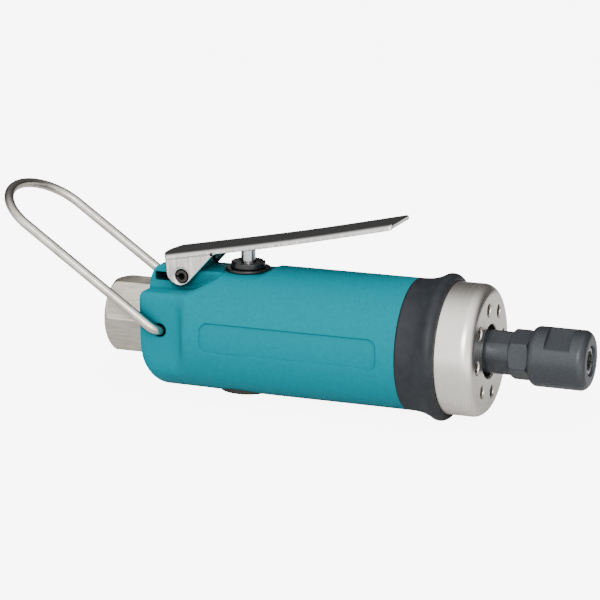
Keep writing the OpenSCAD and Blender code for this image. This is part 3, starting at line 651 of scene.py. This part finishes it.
def front_cap(x, y, z):
    skirt_radius, spindle_hole, bearing_room = 17.45, 8.5, 11.6
    holes, hole_radius, hole_circle = 8, 2.0, 27.7 / 2
    r = radius(y, z)
    shell = round_max(r - CAP_RADIUS, x, 3.8)
    shell = round_max(shell, CAP_REAR + 0.05 - x, 0.3)
    skirt = round_max(r - skirt_radius, slab(x, SKIRT_REAR, -10), 0.3)
    solid = np.minimum(shell, skirt)
    solid = round_max(solid, spindle_hole - r, 0.7)
    solid = np.maximum(solid, -np.maximum(r - bearing_room, x + 12.5))
    felt_room = np.maximum(slab(r, 9.5, 16.95), slab(x, -14, -3.6))
    solid = np.maximum(solid, -felt_room)
    for i in range(holes):
        u, w = turned_about_x(y, z, 9 + i * 360 / holes)
        solid = round_max(solid, hole_radius - np.hypot(u, w - hole_circle), 0.45)
    return solid


def make_cap():
    reach = CAP_RADIUS
    sculpt("turned_cap", front_cap, (SKIRT_REAR, -reach, -reach), (0, reach, reach), 0.27,
           LOOKS["turned_stainless"], "housing", ["front_cap"])


# ---------- Spindle nose ----------

FLATS_TURN = 29          # where the neck's and the nut's flats face
THREAD_RADIUS = 6.6      # of the thread between the collet body and its nut


def collet_body(x, y, z):
    soft = 0.25
    neck_radius, neck_flats, neck_front = 6.85, 12.6, 8
    hex_front = 13.9
    r = radius(y, z)
    neck = np.maximum(round_max(r - neck_radius, -17 - x, soft), x - neck_front)
    square = regular(y, z, 4, neck_flats, FLATS_TURN, 0.3)
    neck = np.where(x > -0.5, np.maximum(neck, square), neck)
    hexagon = round_max(regular(y, z, 6, 14, 23, soft), slab(x, 7.6, hex_front), soft)
    chamfers = below(np.abs(x - 10.75), r, (0, 10.4), -1)
    hexagon = round_max(hexagon, chamfers, 0.15)
    ridges = 0.25 * np.abs(np.sin(math.pi * x))
    thread = np.maximum(r - THREAD_RADIUS + ridges, slab(x, 13.5, 24))
    solid = np.minimum(round_min(neck, hexagon, 0.3), thread)
    bore = np.minimum(
        np.minimum(np.maximum(r - 4.02, x + 3), np.maximum(r - 3.4, slab(x, -3.1, 14.1))),
        np.maximum(below(x, r, (14, 3.9), 0.182), 14 - x))
    return np.maximum(solid, -bore)


def collet_nut(x, y, z):
    flats_rear, flats_front, flats_half = 19.4, 27.4, 8.0
    taper_from = 24.8
    r = radius(y, z)
    solid = round_max(r - NUT_RADIUS, slab(x, NUT_REAR, NUT_FRONT), 0.2)
    solid = round_max(solid, below(x, r, (NUT_REAR, NUT_RADIUS - 1.1), 0.85), 0.5)
    solid = round_max(solid, below(x, r, (NUT_FRONT, NUT_RADIUS - 1.6), -1), 0.6)
    for side in (0, 180):
        w = turned_about_x(y, z, FLATS_TURN + side)[1]
        cut = np.maximum(flats_half - w, slab(x, flats_rear, flats_front))
        solid = round_max(solid, -cut, 0.2)
    thread = np.maximum(r - THREAD_RADIUS - 0.05, slab(x, 0, taper_from))
    taper = np.maximum(r - 4.7 - np.maximum(28.5 - x, 0) * 0.55, taper_from - 0.1 - x)
    return round_max(solid, -np.minimum(thread, taper), 0.5)


def make_nose():
    sculpt("spindle_nose", collet_body, (-17, -8.1, -8.1), (24, 8.1, 8.1), 0.2,
           LOOKS["black_oxide"], "spindle", ["collet_body"])
    reach = NUT_RADIUS
    sculpt("clamp_nut", collet_nut, (NUT_REAR, -reach, -reach), (NUT_FRONT, reach, reach), 0.2,
           LOOKS["black_oxide"], "nut", ["collet_nut"])


# ---------- Inlet and bail ----------

def inlet(x, y, z):
    """Hexagon with a round rear edge, a shank with a groove, and a threaded bore."""
    wrench_size, corner_gap = 23, 0.2
    pitch, thread_depth, thread_end = 1.41, 0.7, INLET_REAR + 15
    screen_seat = -107
    z = z - INLET_Z
    r = radius(y, z)
    hexagon = regular(y, z, 6, wrench_size, -4, 0.35)
    head = round_max(hexagon, slab(x, INLET_REAR, BODY_REAR - 0.05), 0.3)
    corner = wrench_size / 2 / math.cos(math.pi / 6) + corner_gap
    head = round_max(head, round_max(r - corner, INLET_REAR - x, 4.6), 0.1)
    shank = round_max(r - 9, slab(x, BODY_REAR - 1, INLET_FRONT), 0.4)
    groove = np.maximum(7.5 - r, slab(x, -112.6, -110.8))
    solid = np.maximum(np.minimum(head, shank), -groove)
    turn = np.arctan2(y, z) / (2 * math.pi)
    ridge = np.abs(((x / pitch + turn) % 1.0) - 0.5) * 2 * thread_depth
    bore = np.maximum(r - 5.4 - ridge, x - thread_end)
    bore = np.minimum(bore, below(x, r, (INLET_REAR, 7.0), -1))
    bore = np.minimum(bore, np.maximum(r - 4.2, x - screen_seat))
    bore = np.minimum(bore, np.maximum(r - 5.3, screen_seat - x))
    return np.maximum(solid, -bore)


def make_inlet():
    reach = 13.4
    sculpt("inlet_hexagon", inlet, (INLET_REAR, -reach, INLET_Z - reach),
           (INLET_FRONT, reach, INLET_Z + reach), 0.27,
           LOOKS["inlet_steel"], "housing", ["inlet_bushing"])


WIRE_RADIUS = 1.59


def bail_path():
    """Middle of the wire from one pin to the other, flat, with the hinge along y."""
    half, length, end, bend, pin = 18.9, 71.3, 15.5, 3.0, 10.8
    side = [(0.0, -pin), (0.0, -half + bend)]
    side += [(-bend + bend * math.cos(a), -half + bend - bend * math.sin(a))
             for a in np.linspace(0.1, math.pi / 2, 9)]
    side += [(-bend - t * (length - end - bend), -half) for t in np.linspace(0.05, 0.95, 12)]
    crown = [(-(length - end) - end * math.cos(a), half * math.sin(a))
             for a in np.linspace(-math.pi / 2, math.pi / 2, 49)]
    other = [(x, -y) for x, y in reversed(side)]
    return side + crown + other


def make_bail():
    lean = math.radians(34.7)
    curve = bpy.data.curves.new("hanging_wire", "CURVE")
    curve.dimensions = "3D"
    curve.bevel_depth = WIRE_RADIUS * MM
    curve.bevel_resolution = 7
    curve.use_fill_caps = True
    path = bail_path()
    spline = curve.splines.new("POLY")
    spline.points.add(len(path) - 1)
    for point, (along, y) in zip(spline.points, path):
        place = (BAIL_X + along * math.cos(lean) - NOSE, y, BAIL_Z - along * math.sin(lean))
        point.co = (*[v * MM for v in place], 1)
    spline.use_smooth = True
    wire = bpy.data.objects.new("hanging_wire", curve)
    bpy.context.scene.collection.objects.link(wire)
    finished(wire, "hanging_wire", LOOKS["bail_wire"], "bail", ["hanging_bail"])


# ---------- Lever ----------

LEVER_SLOPE = 0.1908
SHEET = 1.9              # thickness of the lever's steel
EAR_FRONT = -91.4        # where an ear's front edge meets the lever


def lever_height(x):
    """Height of the lever's top face: two slopes with a gentle bend between them."""
    bend_x = -65
    rear = 24.15 + LEVER_SLOPE * (x + 107)
    front = rear + 0.0346 * (x - bend_x)
    return np.maximum(rear, front) + 0.12 * np.exp(-((x - bend_x) / 8) ** 2)


def ear_profile(x, z, bulge):
    """Side view of an ear: a round foot, a slanting front edge and an upright rear edge."""
    ear_x, ear_z, ear_r, tilt = PIVOT_X - 0.8, PIVOT_Z + 1.45, 4.6, math.radians(48)
    along = (x - ear_x) * math.cos(tilt) + (z - ear_z) * math.sin(tilt)
    edge = (x - ear_x) * math.sin(tilt) - (z - ear_z) * math.cos(tilt) - ear_r
    above = np.minimum(ear_z - z, -along)
    rear = ear_x - ear_r - x - bulge * eased(z, 18, 23)
    foot = np.hypot(x - ear_x, z - ear_z) - ear_r
    return np.minimum(foot, np.maximum(np.maximum(edge, rear), above))


def lever(x, y, z):
    """Channel bent from sheet, cut to its side view, with pressed and cut details."""
    bend, rear_bulge, front_end = 2.4, 3.4, -30.2
    depth = (z - lever_height(x)) / math.hypot(1, LEVER_SLOPE)
    side = np.abs(y) - LEVER_HALF
    outer = round_max(side, depth, bend)
    inner = round_max(side + SHEET, depth + SHEET, bend - SHEET + 0.3)
    shell = round_max(outer, -inner, 0.3)
    profile = ear_profile(x, z, rear_bulge * np.maximum(1 - (y / LEVER_HALF) ** 2, 0))
    strip = np.maximum(-depth - SHEET, -100 - x)
    solid = round_max(shell, round_min(profile, strip, 0.5), 0.3)
    solid = round_max(solid, round_max(x - front_end, side, 1.5), 0.7)
    # A crease under the bend, a shallow dish round the pin, a notch where the bend ends
    crease = np.maximum(np.abs(depth + 1.85) / 0.55, (x - EAR_FRONT - 0.2) / 0.4)
    groove = 0.5 * (1 - eased(crease, 0, 1))
    about_pin = np.hypot(x - PIVOT_X, z - PIVOT_Z)
    dish = 0.3 * (1 - eased(about_pin, 2.8, 3.5))
    solid = np.maximum(solid, side + dish + groove)
    notch = np.maximum(np.hypot(x - EAR_FRONT, depth + 1.8) - 0.5, 6.9 - np.abs(y))
    solid = round_max(solid, -notch, 0.15)
    return round_max(solid, 2.3 - about_pin, 0.3)


def make_lever():
    sculpt("pressed_lever", lever, (-111.5, -LEVER_HALF, 13.5), (-29.5, LEVER_HALF, 41), 0.25,
           LOOKS["lever_steel"], "lever", ["throttle_lever"])


# ---------- Valve and regulator ----------

WASHER_TOP = SADDLE + 0.95


def bushing(x, y, z):
    """Flanged guide with two key notches in its rim and a groove for the stem's O-ring."""
    notch_from, notch_half, notch_deep = 4.3, 0.8, 0.9
    r = np.hypot(x - VALVE_X, y)
    flange = round_max(r - FLANGE_RADIUS, slab(z, WASHER_TOP + 0.02, FLANGE_TOP), 0.3)
    solid = np.minimum(flange, np.maximum(r - 5.0, slab(z, 9.6, FLANGE_TOP - 0.5)))
    for turn in (45, 225):
        c, s = math.cos(math.radians(turn)), math.sin(math.radians(turn))
        u, v = (x - VALVE_X) * c + y * s, y * c - (x - VALVE_X) * s
        notch = np.maximum(np.maximum(notch_from - u, np.abs(v) - notch_half),
                           FLANGE_TOP - notch_deep - z)
        solid = round_max(solid, -notch, 0.12)
    groove = np.maximum(r - 3.9, slab(z, 15.2, 16.7))
    return np.maximum(solid, -np.minimum(r - 2.42, groove))


def make_valve():
    reach = FLANGE_RADIUS
    sculpt("guide_bushing", bushing, (VALVE_X - reach, -reach, 9.6),
           (VALVE_X + reach, reach, FLANGE_TOP), 0.16, LOOKS["black_plastic"], "housing",
           ["valve_bushing"])
    hole, rim = 5.05, 7.4
    lathe("flange_washer",
          softened([(hole, SADDLE), (rim, SADDLE), (rim, WASHER_TOP), (hole, WASHER_TOP)], 0.25),
          LOOKS["black_plastic"], "housing", ["valve_washer"], VALVE_X, 96)
    stem, tip = 2.36, 1.86
    outline = [(0, STEM_LOW), (stem, STEM_LOW), (stem, STEM_TOP - 0.5),
               (tip, STEM_TOP - 0.15), (0, STEM_TOP)]
    lathe("push_stem", softened(outline, 0.25), turned_look("stem_steel", (0.34, 0.34, 0.34), 0.18),
          "valve", ["valve_stem"], VALVE_X, 64)


def regulator(x, y, z):
    """Disc with a screwdriver slot, and a grooved hollow sleeve with a window to the rear."""
    head_t, sleeve = 2.9, 5.93
    u, v = x - VALVE_X, y
    r = np.hypot(u, v)
    head = round_max(r - REGULATOR_RADIUS, slab(z, REGULATOR_LOW, REGULATOR_LOW + head_t), 0.5)
    shank = np.maximum(r - sleeve, slab(z, REGULATOR_LOW + 1, -0.2))
    grooves = np.minimum(np.maximum(4.55 - r, slab(z, -15.85, -13.75)),
                         np.maximum(4.5 - r, slab(z, -12.3, -10.7)))
    solid = np.maximum(np.minimum(head, shank), -grooves)
    hollow = np.maximum(r - 4.6, -9 - z)
    window = np.maximum(np.maximum(u, np.abs(v) - 3.2), -6.5 - z)
    slot = np.maximum(np.maximum(np.abs(v) - 0.7, np.abs(u) - 6.5), z - REGULATOR_LOW - 1.1)
    return round_max(np.maximum(np.maximum(solid, -hollow), -window), -slot, 0.15)


def make_regulator():
    reach = REGULATOR_RADIUS
    sculpt("regulator_knob", regulator, (VALVE_X - reach, -reach, REGULATOR_LOW),
           (VALVE_X + reach, reach, 0), 0.22, LOOKS["dark_steel"], "regulator",
           ["speed_regulator"])


# ---------- Floor, light and camera ----------

def make_floor():
    """Pale floor under the tool that the camera sees as plain white.

    In reflections it is bright well in front of the tool and beside the nose.
    """
    seen_glow = 7
    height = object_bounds()[0].z
    half = 6.0
    mesh = bpy.data.meshes.new("floor")
    mesh.from_pydata([(-half, -half, height), (half, -half, height), (half, half, height),
                      (-half, half, height)], [], [(0, 1, 2, 3)])
    floor = bpy.data.objects.new("floor", mesh)
    bpy.context.scene.collection.objects.link(floor)
    look = Look("pale_floor", (0.7, 0.7, 0.7), 0.9)
    look.shader.inputs["Emission Color"].default_value = (1, 1, 1, 1)
    path = look.node("ShaderNodeLightPath")
    part = look.node("ShaderNodeSeparateXYZ")
    look.link(look.coords, part.inputs[0])
    near = look.ramp(part.outputs[1], 0.0, -0.45, 0, 1.9)
    ahead = look.math("MULTIPLY", look.ramp(part.outputs[0], -0.01, 0.05, 0, 1.8),
                      look.ramp(part.outputs[1], 0.01, -0.04, 0, 1))
    near = look.math("MAXIMUM", near, ahead)
    glow = look.math("ADD", look.math("MULTIPLY", path.outputs["Is Camera Ray"], seen_glow),
                     look.math("MULTIPLY", path.outputs["Is Glossy Ray"], near))
    look.link(glow, look.shader.inputs["Emission Strength"])
    mesh.materials.append(look.material)


def aimed(thing, place, target):
    """Puts an object at a place and points its -Z at the target."""
    place, target = Vector(place), Vector(target)
    turn = (target - place).to_track_quat("-Z", "Y").to_matrix().to_4x4()
    thing.matrix_world = Matrix.Translation(place) @ turn


def softbox(name, place, target, width, height, watts):
    lamp = bpy.data.lights.new(name, "AREA")
    lamp.shape = "RECTANGLE"
    lamp.size, lamp.size_y = width, height
    lamp.energy = watts
    piece = bpy.data.objects.new(name, lamp)
    bpy.context.scene.collection.objects.link(piece)
    aimed(piece, place, target)


class Studio(Nodes):
    """Soft light from all round: brightest in front, darker along the far horizon."""

    def __init__(self):
        seen_glow = 3.0
        world = bpy.data.worlds.new("studio")
        bpy.context.scene.world = world
        world.use_nodes = True
        super().__init__(world.node_tree)
        way = self.node("ShaderNodeTexCoord").outputs["Generated"]
        aim = self.node("ShaderNodeVectorMath", operation="DOT_PRODUCT")
        self.link(way, aim.inputs[0])
        aim.inputs[1].default_value = Vector((0.2, -0.8, 0.5)).normalized()
        front = self.ramp(aim.outputs["Value"], -0.25, 0.95, 0.2, 2.15)
        part = self.node("ShaderNodeSeparateXYZ")
        self.link(way, part.inputs[0])
        far = self.ramp(part.outputs[1], 0.0, 0.5, 0, 1)
        near_horizon = self.ramp(part.outputs[2], 0.3, 0.8, 0.7, 0)
        shade = self.math("MULTIPLY", far, near_horizon)
        level = self.math("MULTIPLY", front, self.math("SUBTRACT", 1, shade))
        seen = self.node("ShaderNodeLightPath").outputs["Is Camera Ray"]
        plain = self.math("MULTIPLY", seen, seen_glow)
        hidden = self.math("MULTIPLY", level, self.math("SUBTRACT", 1, seen))
        background = self.tree.nodes["Background"]
        background.inputs[0].default_value = (1, 1, 1, 1)
        self.link(self.math("ADD", plain, hidden), background.inputs[1])


def make_light():
    Studio()
    middle = (-0.096, 0, 0)
    softbox("key", (0.2, -0.95, 0.55), middle, 0.6, 0.5, 7)
    softbox("glint", (0.4, -0.9, 0.3), middle, 0.14, 0.5, 1.2)


def make_camera():
    """820 mm from the barrel, 21.5 degrees round towards the nose and 13.9 degrees up."""
    around, above, distance = math.radians(21.533), math.radians(13.899), 0.82
    target = Vector(((-64.27 - NOSE) * MM, 0, 10.71 * MM))
    back = Vector((math.sin(around) * math.cos(above), -math.cos(around) * math.cos(above),
                   math.sin(above)))
    camera = bpy.data.objects.new("camera", bpy.data.cameras.new("camera"))
    camera.data.sensor_width = 36
    camera.data.lens = 153.0
    bpy.context.scene.collection.objects.link(camera)
    aimed(camera, target + back * distance, target)
    bpy.context.scene.camera = camera


dress_frame()
make_housing()
make_ring()
make_cap()
make_nose()
make_inlet()
make_bail()
make_lever()
make_valve()
make_regulator()
make_floor()
make_light()
make_camera()
